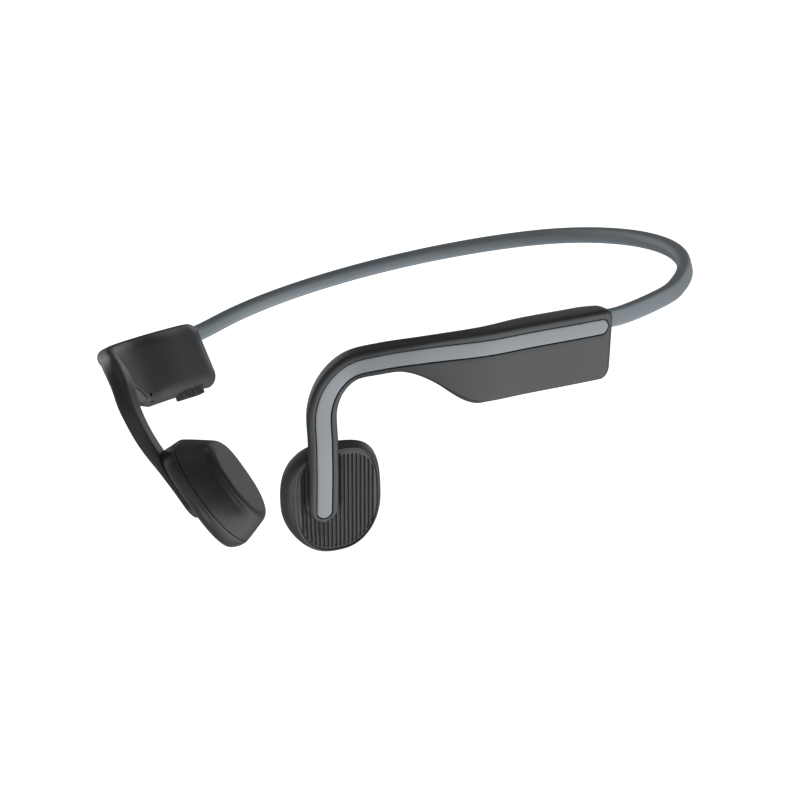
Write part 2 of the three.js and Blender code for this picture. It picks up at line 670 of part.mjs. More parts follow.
function addExciter(ear, side) {
  const floor = 1.1;
  const magnetRadius = 4;
  const magnetDepth = 1.6;
  addPiece(ear, `${side}_exciter_yoke`, turned([
    [0, YOKE_BASE], [EXCITER_RADIUS, YOKE_BASE], [EXCITER_RADIUS, YOKE_LIP],
    [EXCITER_RADIUS - floor, YOKE_LIP], [EXCITER_RADIUS - floor, YOKE_BASE - floor],
    [0, YOKE_BASE - floor],
  ], false), materials.steel);
  const magnetTop = YOKE_BASE - floor - GAP;
  addPiece(ear, `${side}_exciter_magnet`, disc(magnetRadius, magnetTop - magnetDepth, magnetTop),
    materials.magnet);
  addPiece(ear, `${side}_exciter_top_plate`,
    disc(magnetRadius, YOKE_LIP + 0.1, magnetTop - magnetDepth - GAP), materials.steel);
  addPiece(ear, `${side}_voice_coil`, ring(4.5, 5.4, YOKE_LIP - 0.4, -7), materials.copper);
  addPiece(ear, `${side}_coil_bracket`, disc(5.6, YOKE_LIP - 1.4, YOKE_LIP - 0.7), materials.plastic);
  addPiece(ear, `${side}_spring_plate`, ring(3, 8.6, -4.9, -4.6), materials.steel);
}

for (const [side, group] of sides) {
  const ear = frameGroup(group, earMatrix);
  addPiece(ear, `${side}_transducer_shell`, transducerShell(), materials.case);
  addPiece(ear, `${side}_cheek_pad`, cheekPad(), materials.pad);
  addExciter(ear, side);
  const plateName = side === 'left' ? 'left_multifunction_button' : 'right_transducer_cover';
  addPiece(ear, plateName, ribbedPlate(), materials.button);
}

// Tact switch under the left button, on its own small board.
function addButtonSwitch() {
  const ear = frameGroup(leftSide, earMatrix);
  addPiece(ear, 'left_button_switch', boxOf(BUTTON_SWITCH), materials.steel);
  addPiece(ear, 'left_switch_board', boxOf(BUTTON_BOARD), materials.board);
}
addButtonSwitch();

// ---------------------------------------------------------------- origin
// Middle of the bounding box in plan, on the level of the lowest point.
const bounds = new THREE.Box3().setFromObject(headphones, true);
headphones.position.set(0, -(bounds.min.y + bounds.max.y) / 2, -bounds.min.z);

export default headphones;
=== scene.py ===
# Looks of the open-ear bone conduction headphones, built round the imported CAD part.
# Shapes are worked out in millimetres in the wearer's frame (X to the wearer's left, the
# wearer faces -Y, Z up) for the left side, mirrored for the right, and moved to the row
# frame in metres by to_row().
import math

import bmesh
import bpy
import numpy as np
from mathutils import Matrix, Vector


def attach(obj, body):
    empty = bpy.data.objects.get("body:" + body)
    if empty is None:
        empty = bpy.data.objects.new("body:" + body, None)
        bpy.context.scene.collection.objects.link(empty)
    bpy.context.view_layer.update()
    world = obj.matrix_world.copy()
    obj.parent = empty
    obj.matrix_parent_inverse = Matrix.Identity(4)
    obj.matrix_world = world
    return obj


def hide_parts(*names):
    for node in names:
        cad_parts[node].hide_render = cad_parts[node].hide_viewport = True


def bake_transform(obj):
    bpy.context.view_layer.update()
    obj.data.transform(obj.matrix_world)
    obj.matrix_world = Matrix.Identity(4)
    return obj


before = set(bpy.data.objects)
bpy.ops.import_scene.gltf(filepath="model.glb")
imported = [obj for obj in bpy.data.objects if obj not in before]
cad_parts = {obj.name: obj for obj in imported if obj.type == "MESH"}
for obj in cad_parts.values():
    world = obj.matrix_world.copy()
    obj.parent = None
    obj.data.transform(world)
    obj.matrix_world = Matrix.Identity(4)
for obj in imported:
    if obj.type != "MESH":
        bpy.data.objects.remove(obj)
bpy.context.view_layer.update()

# ---------------------------------------------------------------- driving dimensions
ROW_OFFSET = np.array([0, 71.9725, 51.7234])  # from the wearer's frame to the row frame
SEAM = 0.2  # visible gap between moulded pieces
STRIP_GAP = 0.32

BAND_HALF_WIDTH = 84
BAND_DEPTH = 60
BAND_SQUARENESS = 1.85
BAND_RISE = 13.5
BAND_REACH = 70
BAND_HEIGHT = 4.43
BAND_FLARE = 0.3  # how much taller it is at the pods
BAND_THICKNESS = 4.0
BAND_TOP = 2.1  # its top edge above the centre line
BAND_OUTER_RADIUS, BAND_INNER_RADIUS = 0.9, 1.9
BAND_CROWN = 0.06
BAND_LIFT = 1.0
BAND_INBOARD = 2.0
BAND_BEHIND_POD, BAND_IN_POD = 4, 3  # where it runs straight into the pod
BAND_STATIONS = (0.0, 0.08, 0.17, 0.27, 0.36, 0.46, 0.56, 0.66, 0.76, 0.86, 0.95)
WIRE_RADIUS = 0.55
WIRE_SHORT = 8  # the wire stops this far before each end of the band

POD_REAR = (81.6, -78.6, -1.1)
ARM_END = (24.2, -135.4, -41.1)
ARM_ROUTE = (
    POD_REAR,
    (78, -91, -0.7),
    (74, -103, -0.3),
    (70, -115, 0),
    (61.5, -127, 0.85),
    (52.5, -134.5, 0.85),
    (45.5, -138.8, -0.2),
    (40.5, -141.2, -4),
    (37.3, -142.5, -9.6),
    (34, -141, -19.3),
    (30.3, -138.7, -28),
    ARM_END,
)
POD_YAW, POD_LEAN = 18.4, 17  # degrees towards the front and towards the floor
EAR_YAW, EAR_LEAN = 33, 27
POD_LENGTH = 38
POD_TOP, POD_BOTTOM = 4.3, 14.9
POD_OUTER, POD_INNER = 1.8, 7.4
POD_KEEL = 1.3  # how much lower the underside is on the head side
POD_CORNER = 3
ARM_HALF_WIDTH = 3.9
ARM_INNER = 3.7
ARM_SLIM = 2.1  # below the hook
ARM_END_OUTER, ARM_END_INNER = 0.8, 1.5
LANDING_START, LANDING_END = 30, 8

STRIP_WIDTH = 3.85
STRIP_DEPTH = 0.7
STRIP_START = 2
STRIP_END_MARGIN = 1.4
STRIP_CROWN = 0.12
STRIP_SUNK = 0.05  # its edges lie this far below the arm's face
GROOVE_LIP = 0.1

# The port lies a little further inboard than in the CAD, so that the outer wall covers it.
PORT = {"up": -12.3, "forward": 46.4, "across": -4.2, "tilt": 35}
PORT_OUTSIDE = -4  # well clear of the pod's skin
FLAP_LENGTH, FLAP_WIDTH, FLAP_DEPTH = 11, 5.6, 1.3
SOCKET_LENGTH, SOCKET_WIDTH, SOCKET_START, SOCKET_END = 8.6, 2.8, 1.7, 4.6
KEY_FIRST, KEY_PITCH, KEY_LENGTH, KEY_WIDTH = 14, 6.3, 5.6, 3.4
KEY_ACROSS = -4.2
KEY_LOWEST, KEY_ROOT = -17.6, -13.6
KEY_WELL_TOP = -12.4
GRIP_PITCH, GRIP_WIDTH, GRIP_DEPTH = 1.6, 0.5, 0.35
MICROPHONE_HOLE = (-13.6, 39.5, -6.2)  # up, forward, out
LIGHT_SLIT = (-15.2, 38.6, -4.8)

EAR_CENTRE = (26, -132.6, -37.2)
RIM_CORNERS = (3.4, 2.7, 2.1, 2.3)  # fullness at rear top, front top, front low, rear low
PLATE_CORNERS = (3.3, 3.0, 2.8, 2.45)
EAR_CHIN = 0.1
PLATE_HALF = (11.1, 16.0)
PLATE_SHIFT = (1.0, 0.8)  # the plate sits a little to the rear of the rim and above it
RIM_HALF = (13.4, 16.7)
PAD_HALF = (10.0, 12.1)
PAD_EDGE = 1.7
RIM_DEPTH = 4.0
SPLIT_DEPTH = 4.7
EAR_DEPTH = 13.1
PAD_DROP = -1.7
PAD_HOLLOW = 1.7
PLATE_INSET = 0.25
RIB_PITCH = 1.1
RIB_HEIGHT = 0.7
RIB_TURN = -1.6  # degrees off the transducer's own upright
RIB_SHARES = (-0.5, -0.36, -0.26, -0.12, 0.12, 0.26, 0.36)  # places across one rib
PLATE_THICKNESS = 2.6
PLATE_FACE = 0.1  # the ribs' crests lie this far below the rim
PLATE_ROLL, PLATE_DIP, PLATE_SUNK = 0.3, 0.9, 0.5  # at its edge, along its front, round the arm
PAD_WALL_ROUND = 1.08  # over 1, the pad starts to narrow slowly

# Light: brightness of the room by height, and soft boxes as direction, cosine where each starts,
# cosine where it is full, and brightness.
FLOOR_GLOW = 1.05
SKY = [(-1.0, 0.26), (-0.3, 0.36), (0.1, 0.3), (0.45, 0.12), (1.0, 0.08)]
SOFT_BOXES = [
    ((0.72, 0.12, -0.68), 0.45, 0.95, 1.8),
    ((-0.38, 0.89, 0.25), 0.93, 0.985, 0.7),
    ((-0.1, -0.76, -0.64), 0.975, 0.993, 3.5),
    ((0.1, 0.1, 0.99), 0.8, 0.97, 0.35),
    ((-0.9, 0.05, 0.43), 0.85, 0.97, 1.4),
    ((-0.69, 0.71, -0.08), 0.8, 0.98, -0.24),  # a dark card, which takes light away
]

# Camera of the reference view, in the wearer's frame: turned round the object, tipped down,
# rolled, and shifted so that the object sits where it does in the frame. Angles in radians.
CAMERA_TURN, CAMERA_TIP, CAMERA_ROLL = 0.80284, 0.14176, -0.14873
CAMERA_DISTANCE, CAMERA_ACROSS, CAMERA_UP = 757.51, 47.63, 36.34
SENSOR, FOCAL = 36, 112.66


# ---------------------------------------------------------------- small maths
def unit(v):
    return v / np.linalg.norm(v, axis=-1, keepdims=True)


def mix(a, b, t):
    return a + (b - a) * t


def smooth(x, low, high):
    t = np.clip((x - low) / (high - low), 0, 1)
    return t * t * (3 - 2 * t)


def outward(yaw, lean):
    """The outward direction of a face turned forward by yaw and down by lean."""
    y, l = np.radians(yaw), np.radians(lean)
    return np.stack([np.cos(y) * np.cos(l), -np.sin(y) * np.cos(l), -np.sin(l)], -1)


def to_row(points):
    """Points in millimetres in the wearer's frame, in metres in the row frame."""
    return (np.asarray(points, float) + ROW_OFFSET) / 1000


class Path:
    """A centripetal Catmull-Rom curve, read by its length from the start."""

    def __init__(self, route, fineness=200):
        p = [np.array(q, float) for q in route]
        p = [2 * p[0] - p[1], *p, 2 * p[-1] - p[-2]]
        t = np.linspace(0, 1, fineness, endpoint=False)[:, None]
        parts = []
        for a, b, c, d in zip(p, p[1:], p[2:], p[3:]):
            ab, bc, cd = (np.linalg.norm(w - v) ** 0.5 for v, w in ((a, b), (b, c), (c, d)))
            leave = (b - a) / ab - (c - a) / (ab + bc) + (c - b) / bc
            arrive = (c - b) / bc - (d - b) / (bc + cd) + (d - c) / cd
            leave, arrive = leave * bc, arrive * bc
            cubic = 2 * b - 2 * c + leave + arrive
            square = 3 * c - 3 * b - 2 * leave - arrive
            parts.append(b + leave * t + square * t**2 + cubic * t**3)
        self.dense = np.vstack([*parts, p[-2][None]])
        steps = np.linalg.norm(np.diff(self.dense, axis=0), axis=1)
        self.reach = np.concatenate([[0], np.cumsum(steps)])
        self.length = self.reach[-1]

    def at(self, distance):
        d = np.clip(distance, 0, self.length)
        return np.stack([np.interp(d, self.reach, self.dense[:, k]) for k in range(3)], -1)

    def along(self, distance):
        step = 0.25
        return unit(self.at(distance + step) - self.at(distance - step))


# ---------------------------------------------------------------- meshes
def skin(rings, close_ends=True):
    """Vertices and faces of a closed skin over rings (rings x points x 3)."""
    count, width = rings.shape[:2]
    points = rings.reshape(-1, 3)
    faces = []
    for r in range(count - 1):
        for i in range(width):
            j = (i + 1) % width
            a, b = r * width + i, r * width + j
            faces.append((a, b, b + width, a + width))
    if close_ends:
        last = (count - 1) * width
        faces.append(tuple(reversed(range(width))))
        faces.append(tuple(last + i for i in range(width)))
    return points, faces


def object_from(name, points, faces, material, mirrored=False, sharp=32):
    """A mesh object in the row frame, smooth except where faces meet at over sharp degrees."""
    p = np.array(points, float)
    if mirrored:
        p = p * (-1, 1, 1)
    mesh = bpy.data.meshes.new(name)
    mesh.from_pydata(to_row(p).tolist(), [], faces)
    tidy = bmesh.new()
    tidy.from_mesh(mesh)
    bmesh.ops.remove_doubles(tidy, verts=tidy.verts, dist=2e-7)
    bmesh.ops.recalc_face_normals(tidy, faces=tidy.faces)
    tidy.to_mesh(mesh)
    tidy.free()
    mesh.polygons.foreach_set("use_smooth", [True] * len(mesh.polygons))
    mesh.set_sharp_from_angle(angle=math.radians(sharp))
    made = bpy.data.objects.new(name, mesh)
    bpy.context.scene.collection.objects.link(made)
    mesh.materials.append(material)
    return made


def carve(target, cutter, operation="DIFFERENCE", sharp=32):
    """Applies a boolean to target and removes the cutter."""
    modifier = target.modifiers.new("carve", "BOOLEAN")
    modifier.operation = operation
    modifier.solver = "EXACT"
    modifier.object = cutter
    bpy.context.view_layer.update()
    result = target.evaluated_get(bpy.context.evaluated_depsgraph_get())
    mesh = bpy.data.meshes.new_from_object(result)
    target.modifiers.clear()
    target.data = mesh
    mesh.polygons.foreach_set("use_smooth", [True] * len(mesh.polygons))
    mesh.set_sharp_from_angle(angle=math.radians(sharp))
    bpy.data.objects.remove(cutter)
    return target


def corner(x, y, sx, sy, radius, steps=9):
    """Points of a rounded corner whose sharp corner would be at (x, y)."""
    start = {(1, 1): 0, (-1, 1): 90, (-1, -1): 180, (1, -1): 270}[(sx, sy)]
    angle = np.radians(np.linspace(start, start + 90, steps))
    return np.stack([x - sx * radius + radius * np.cos(angle),
                     y - sy * radius + radius * np.sin(angle)], -1)


# ---------------------------------------------------------------- the arm's moving frame
arm = Path(ARM_ROUTE)


def arm_frame(distance):
    """Place, forward, out and up directions at distances along the arm."""
    d = np.asarray(distance, float)
    turn = smooth(d, POD_LENGTH, arm.length - 20)
    forward = arm.along(d)
    out = outward(mix(POD_YAW, EAR_YAW, turn), mix(POD_LEAN, EAR_LEAN, turn))
    out = unit(out - forward * np.sum(out * forward, -1, keepdims=True))
    return arm.at(d), forward, out, np.cross(forward, out)


def on_arm(distance, section):
    """Section points (across, high) put at a distance along the arm."""
    place, _, out, up = arm_frame(distance)
    return place + section[:, :1] * out + section[:, 1:] * up


def arm_outer(distance):
    landing = smooth(distance, arm.length - LANDING_START, arm.length - LANDING_END)
    return mix(POD_OUTER, ARM_END_OUTER, landing)


def arm_sizes(distance):
    d = float(distance)
    hook = smooth(d, POD_LENGTH, POD_LENGTH + 24)
    rear = max(0, 1 - d / POD_CORNER)
    tuck = POD_CORNER * (1 - math.sqrt(max(0, 1 - rear * rear)))
    slim = smooth(d, arm.length - 58, arm.length - 26)
    thin = smooth(d, arm.length - 22, arm.length - 14)
    past = max(0, d - (arm.length - ARM_HALF_WIDTH)) / ARM_HALF_WIDTH
    tip = math.sqrt(max(0.02, 1 - past * past))
    bulge = (1 - smooth(d, 20, 56)) * smooth(d, -6, 8)
    inner = mix(mix(ARM_INNER, POD_INNER, bulge), ARM_SLIM, slim)
    inner = mix(inner, ARM_END_INNER, thin)
    outer = arm_outer(d)
    return {
        "outer": outer - tuck * 0.4,
        "inner": inner - tuck * 0.6,
        "top": mix(POD_TOP, ARM_HALF_WIDTH, hook) * tip - tuck * 0.6,
        "bottom": mix(POD_BOTTOM, ARM_HALF_WIDTH, hook) * tip - tuck,
        "outer_radius": min(1.3, (outer + inner) * 0.45),
        "inner_radius": min(mix(3.4, 4.4, bulge), (outer + inner) * 0.5),
        "keel": POD_KEEL * (1 - hook) * (1 - tuck / POD_CORNER),
    }


def groove_half(distance, start, end, half):
    """Half the width of a slot with round ends, at a distance along the arm."""
    from_end = min(distance - start, end - distance)
    share = min(1, max(0, from_end / half))
    return half * math.sqrt(max(0, 1 - (1 - share) ** 2))


GROOVE_START = STRIP_START - STRIP_GAP
GROOVE_END = arm.length - STRIP_END_MARGIN + STRIP_GAP
GROOVE_HALF = STRIP_WIDTH / 2 + STRIP_GAP


def arm_section(distance):
    """The arm's outline, with the strip's groove in its outer face."""
    s = arm_sizes(distance)
    half = groove_half(distance, GROOVE_START, GROOVE_END, GROOVE_HALF)
    inside = GROOVE_START < distance < GROOVE_END
    depth = STRIP_DEPTH + 0.1 if inside else 0
    half = max(half, 0.03)
    lip = min(GROOVE_LIP, half * 0.5) if inside else 0.01
    outer = s["outer"]
    ro = min(s["outer_radius"], 0.45 * (s["top"] + s["bottom"]))
    ri = min(s["inner_radius"], 0.48 * (s["top"] + s["bottom"]))
    slot_top = [(outer - depth, 0), (outer - depth, half), (outer - lip, half),
                (outer - lip * 0.3, half + lip * 0.3), (outer, half + lip)]
    slot_bottom = [(x, -y) for x, y in reversed(slot_top)][:-1]
    face = []
    room = s["bottom"] - ro - (half + lip)
    for share in (0.85, 0.6, 0.35, 0.12):
        face.append((outer, -(half + lip) - room * share))
    low = s["bottom"] + s["keel"]
    flat = [(-s["inner"], y) for y in np.linspace(s["top"] - ri, ri - low, 8)[1:-1]]
    return np.vstack([
        slot_top,
        corner(outer, s["top"], 1, 1, ro),
        corner(-s["inner"], s["top"], -1, 1, ri, 14),
        flat,
        corner(-s["inner"], -low, -1, -1, ri, 14),
        corner(outer, -s["bottom"], 1, -1, ro),
        face,
        slot_bottom,
    ])


def round_stations(start, end, radius, steps=12):
    """Stations that crowd towards both round ends of a slot."""
    angle = np.linspace(0, math.pi / 2, steps)
    head = start + radius * (1 - np.cos(angle))
    return head, (end - radius * (1 - np.cos(angle)))[::-1]


def arm_skin(name, material, mirrored):
    """Pod and ear hook as one skin, from the pod's rear face to the arm's round end."""
    head, tail = round_stations(GROOVE_START, GROOVE_END, GROOVE_HALF)
    rear = POD_CORNER * (1 - np.cos(np.linspace(0, math.pi / 2, 14)))
    tip = arm.length - ARM_HALF_WIDTH * (1 - np.sin(np.linspace(0, math.pi / 2, 16)))
    stations = np.concatenate([
        rear, head, [GROOVE_START - 0.01, GROOVE_START + 0.01],
        np.linspace(POD_CORNER, arm.length - ARM_HALF_WIDTH, 170),
        tail, [GROOVE_END - 0.01, GROOVE_END + 0.01], tip,
    ])
    stations = np.unique(np.round(stations, 3))
    rings = np.array([on_arm(d, arm_section(d)) for d in stations])
    points, faces = skin(rings)
    return object_from(name, points, faces, material, mirrored)


def accent_strip(name, material, mirrored):
    """The light inlay along the outer face, with a low crown."""
    start, end, half = STRIP_START, arm.length - STRIP_END_MARGIN, STRIP_WIDTH / 2
    head, tail = round_stations(start, end, half)
    straight = np.linspace(start + half, end - half, 150)[1:-1]
    stations = np.concatenate([head[1:], straight, tail[:-1]])
    rings = []
    for d in stations:
        w = groove_half(d, start, end, half)
        top = arm_outer(d)
        edge = min(0.12, w * 0.4)
        profile = [(-w, -STRIP_DEPTH), (-w, -STRIP_SUNK - edge),
                   (-w + edge * 0.3, -STRIP_SUNK - edge * 0.3), (-w + edge, -STRIP_SUNK)]
        across = np.linspace(-1, 1, 9)[1:-1] * (w - edge)
        rise = STRIP_CROWN * min(1, w / half)
        crown = [(x, rise * (1 - (x / half) ** 2) - STRIP_SUNK) for x in across]
        profile = profile + crown + [(-x, z) for x, z in reversed(profile)]
        rings.append(on_arm(d, np.array([(top + z, x) for x, z in profile])))
    points, faces = skin(np.array(rings))
    return object_from(name, points, faces, material, mirrored)


# ---------------------------------------------------------------- the neckband
def band_point(quarter):
    angle = math.radians(90 * quarter)
    x = BAND_HALF_WIDTH * math.sin(angle) ** (2 / BAND_SQUARENESS)
    y = -BAND_DEPTH * (1 - math.cos(angle) ** (2 / BAND_SQUARENESS))
    return np.array([x, y, BAND_RISE * (1 + y / BAND_REACH)])


pod_place, pod_forward, pod_out, pod_up = arm_frame(0.0)


def from_pod(points):
    """Points given as (up, forward, out) in the pod's frame, in the wearer's frame."""
    p = np.asarray(points, float)
    return pod_place + p[..., :1] * pod_up + p[..., 1:2] * pod_forward + p[..., 2:] * pod_out


band_left = [band_point(q) for q in BAND_STATIONS]
for reach in (-BAND_BEHIND_POD, BAND_IN_POD):
    band_left.append(from_pod((BAND_LIFT, reach, -BAND_INBOARD)))
band = Path([p * (-1, 1, 1) for p in reversed(band_left[1:])] + band_left)


def band_ring(distance, section):
    place = band.at(distance)
    forward = band.along(distance)
    plane_up = unit(np.array([0, -BAND_RISE / BAND_REACH, 1.0]))
    out = unit(np.cross(plane_up, forward))
    up = np.cross(forward, out)
    return place + section[:, :1] * out + section[:, 1:] * up


def band_section(distance):
    """Nearly flat outside with tight edges, round inside. The top line stays where it is."""
    from_end = min(distance, band.length - distance)
    height = BAND_HEIGHT + BAND_FLARE * (1 - smooth(from_end, 10, 80))
    x, top, low = BAND_THICKNESS / 2, BAND_TOP, BAND_TOP - height
    face = [(x + BAND_CROWN, mix(low, top, t)) for t in (0.33, 0.5, 0.67)]
    return np.vstack([
        corner(x, top, 1, 1, BAND_OUTER_RADIUS, 8),
        corner(-x, top, -1, 1, BAND_INNER_RADIUS, 12),
        corner(-x, low, -1, -1, BAND_INNER_RADIUS, 12),
        corner(x, low, 1, -1, BAND_OUTER_RADIUS, 8),
        face,
    ])


def band_half(name, material, mirrored):
    stations = np.linspace(band.length / 2, band.length, 130)
    rings = np.array([band_ring(d, band_section(d)) for d in stations])
    points, faces = skin(rings)
    return object_from(name, points, faces, material, mirrored)


def wire_half(name, material, mirrored):
    angle = np.radians(np.arange(0, 360, 30))
    section = WIRE_RADIUS * np.stack([np.cos(angle), np.sin(angle)], -1)
    stations = np.linspace(band.length / 2, band.length - WIRE_SHORT, 70)
    rings = np.array([band_ring(d, section) for d in stations])
    points, faces = skin(rings)
    return object_from(name, points, faces, material, mirrored)


# ---------------------------------------------------------------- transducers
ear_out = outward(EAR_YAW, EAR_LEAN)
ear_up = unit(np.array([0, 0, 1.0]) - ear_out * ear_out[2])
ear_rear = np.cross(ear_up, ear_out)


def from_ear(points):
    """Points given as (rear, up, out) from the transducer's centre, in the wearer's frame."""
    p = np.asarray(points, float)
    return np.array(EAR_CENTRE) + p[..., :1] * ear_rear + p[..., 1:2] * ear_up + p[..., 2:] * ear_out


def to_ear(points):
    q = np.asarray(points, float) - np.array(EAR_CENTRE)
    return np.stack([q @ ear_rear, q @ ear_up, q @ ear_out], -1)


def ear_ring(half, depth, corners, shift=(0, 0), hollow=0.0, count=160):
    """A rounded outline at a depth below the outer plate. Each corner has its own fullness, the
    lower end is a little narrower, and hollow draws the front side in."""
    angle = np.linspace(0, 2 * math.pi, count, endpoint=False)
    c, s = np.cos(angle), np.sin(angle)
    rear, top = c >= 0, s >= 0
    power = 2 / np.select([rear & top, ~rear & top, ~rear & ~top], corners[:3], corners[3])
    waist = np.where(s < 0, 1 - EAR_CHIN * s * s, 1)
    x = half[0] * np.sign(c) * np.abs(c) ** power * waist + shift[0]
    y = half[1] * np.sign(s) * np.abs(s) ** power + shift[1]
    x = x + hollow * smooth(-c, 0.05, 0.5) * smooth(s, -0.9, -0.3)
    return np.stack([x, y, np.full(count, -depth)], -1)


def housing_shape(depth):
    """The housing's half sizes, shift and corners at a depth."""
    if depth <= RIM_DEPTH:
        flare = math.sin(math.radians(90 * (depth / RIM_DEPTH) ** 0.7))
        half = [mix(PLATE_HALF[k], RIM_HALF[k], flare) for k in (0, 1)]
        corners = [mix(a, b, flare) for a, b in zip(PLATE_CORNERS, RIM_CORNERS)]
        return half, (PLATE_SHIFT[0] * (1 - flare), PLATE_SHIFT[1] * (1 - flare)), corners
    taper = (depth - RIM_DEPTH) / (EAR_DEPTH - RIM_DEPTH)
    past = max(0, depth - (EAR_DEPTH - PAD_EDGE)) / PAD_EDGE
    edge = PAD_EDGE * (1 - math.sqrt(max(0, 1 - past * past)))
    half = [mix(RIM_HALF[k], PAD_HALF[k], taper**PAD_WALL_ROUND) - edge for k in (0, 1)]
    return half, (0, PAD_DROP * taper), RIM_CORNERS


def housing_ring(depth, inset=0.0, hollow=0.0):
    half, shift, corners = housing_shape(depth)
    return ear_ring([h - inset for h in half], depth, corners, shift, hollow)


def plate_ring(inset, depth):
    return ear_ring([h - inset for h in PLATE_HALF], depth, PLATE_CORNERS, PLATE_SHIFT)


def transducer_shell(name, material, mirrored):
    """A ring whose thin rim stands round the plate, down to the seam with the pad."""
    rings = [plate_ring(4, 3.2), plate_ring(PLATE_INSET, 3.2)]
    for angle in np.radians(np.linspace(0, 90, 5)):
        rings.append(plate_ring(PLATE_INSET - 0.15 * (1 - math.cos(angle)),
                                0.2 - 0.15 * math.sin(angle)))
    for share in np.linspace(0.1, 1, 22):
        rings.append(housing_ring(share**2 * RIM_DEPTH))
    rings.append(housing_ring(SPLIT_DEPTH - 0.3))
    rings.append(housing_ring(SPLIT_DEPTH - 0.12, 0.04))
    rings.append(housing_ring(SPLIT_DEPTH - 0.05, 0.3))
    rings.append(housing_ring(SPLIT_DEPTH - 0.05, 3))
    points, faces = skin(from_ear(np.array(rings)))
    return object_from(name, points, faces, material, mirrored, sharp=40)


def cheek_pad(name, material, mirrored):
    """A soft pad with a slightly hollow front wall and a flat face."""
    rings = [housing_ring(SPLIT_DEPTH + 0.05, 3), housing_ring(SPLIT_DEPTH + 0.05, 0.3),
             housing_ring(SPLIT_DEPTH + 0.12, 0.06)]
    wall = np.linspace(SPLIT_DEPTH + 0.3, EAR_DEPTH - PAD_EDGE, 26)
    round_edge = EAR_DEPTH - PAD_EDGE * (1 - np.sin(np.linspace(0.1, math.pi / 2, 9)))
    for depth in [*wall, *round_edge]:
        share = (depth - SPLIT_DEPTH) / (EAR_DEPTH - SPLIT_DEPTH)
        hollow = min(1, share / 0.7) ** 1.5 * (1 - smooth(share, 0.74, 0.95))
        rings.append(housing_ring(depth, 0, PAD_HOLLOW * hollow))
    half, shift, corners = housing_shape(EAR_DEPTH)
    for share in (0.9, 0.6, 0.3):
        rings.append(ear_ring([h * share for h in half], EAR_DEPTH, corners, shift))
    points, faces = skin(from_ear(np.array(rings)))
    return object_from(name, points, faces, material, mirrored, sharp=50)


def turned(points, degrees):
    """Points turned about the middle of the plate."""
    c, s = math.cos(math.radians(degrees)), math.sin(math.radians(degrees))
    p = np.array(points, float)
    x, y = p[..., 0] - PLATE_SHIFT[0], p[..., 1] - PLATE_SHIFT[1]
    p[..., 0], p[..., 1] = x * c - y * s + PLATE_SHIFT[0], x * s + y * c + PLATE_SHIFT[1]
    return p


def arm_line():
    """The arm's lower end seen in the plate's plane: points of its centre line."""
    stations = np.linspace(arm.length - 34, arm.length - ARM_HALF_WIDTH, 60)
    return to_ear(arm_frame(stations)[0])[:, :2]


def rib_columns(first, last):
    """Places across the ribs: seven to a rib, and closer together near the plate's sides."""
    middle = PLATE_SHIFT[0]
    count = int((last - first) / RIB_PITCH)
    across = [middle + RIB_PITCH * (i + share) for i in range(-count, count + 1) for share in RIB_SHARES]
    inside = [x for x in across if first + 0.9 < x < last - 0.9]
    steps = np.array([0.02, 0.1, 0.22, 0.38, 0.6, 0.8])
    return sorted([*inside, *(first + steps), *(last - steps)])


def plate_column(x, y, line, first, last):
    """Points of the plate's face along one column: ribs, rolled edge, and the dip at the arm."""
    low, high = y[0], y[-1]
    phase = ((x - PLATE_SHIFT[0]) / RIB_PITCH + 0.5) % 1 - 0.5
    crest = 1 - smooth(abs(phase), 0.12, 0.38)
    from_top, from_low = high - y, y - low
    from_rear, from_front = last - x, x - first
    from_arm = np.hypot(line[:, :1] - x, line[:, 1:] - y).min(0) - ARM_HALF_WIDTH
    keep = smooth(from_top, 1.0, 2.4) * smooth(from_low, 0.3, 1.0)
    keep = keep * smooth(from_rear, 0.4, 1.0) * smooth(from_front, 0.9, 1.8)
    keep = keep * smooth(from_arm, 0, 0.4)
    edge = np.minimum(np.minimum(from_top, from_low), min(from_rear, from_front))
    rolled = PLATE_ROLL * (1 - smooth(edge, 0, 1.0)) ** 1.5
    dip = PLATE_DIP * smooth(from_front, 0.4, 2.6) * (1 - smooth(from_front, 4, 9))
    dip = dip * smooth(from_low, 1, 6) * smooth(from_top, 0.5, 3)
    sunk = PLATE_SUNK * (1 - smooth(from_arm, 0.1, 1.6)) * smooth(edge, 0.2, 1.5)
    height = -PLATE_FACE - rolled - dip - sunk - RIB_HEIGHT * (1 - crest) * keep
    return np.stack([np.full(len(y), x), y, height], -1)


def slab_faces(columns, rows):
    """Faces of a closed slab whose top and bottom are grids of columns x rows points."""
    faces, under = [], columns * rows
    for i in range(columns - 1):
        for j in range(rows - 1):
            a = i * rows + j
            faces.append((a, a + 1, a + rows + 1, a + rows))
            faces.append((under + a, under + a + rows, under + a + rows + 1, under + a + 1))
    for i in range(columns - 1):
        for j in (0, rows - 1):
            a = i * rows + j
            faces.append((a, a + rows, a + rows + under, a + under))
    for j in range(rows - 1):
        for i in (0, columns - 1):
            a = i * rows + j
            faces.append((a, a + 1, a + 1 + under, a + under))
    return faces


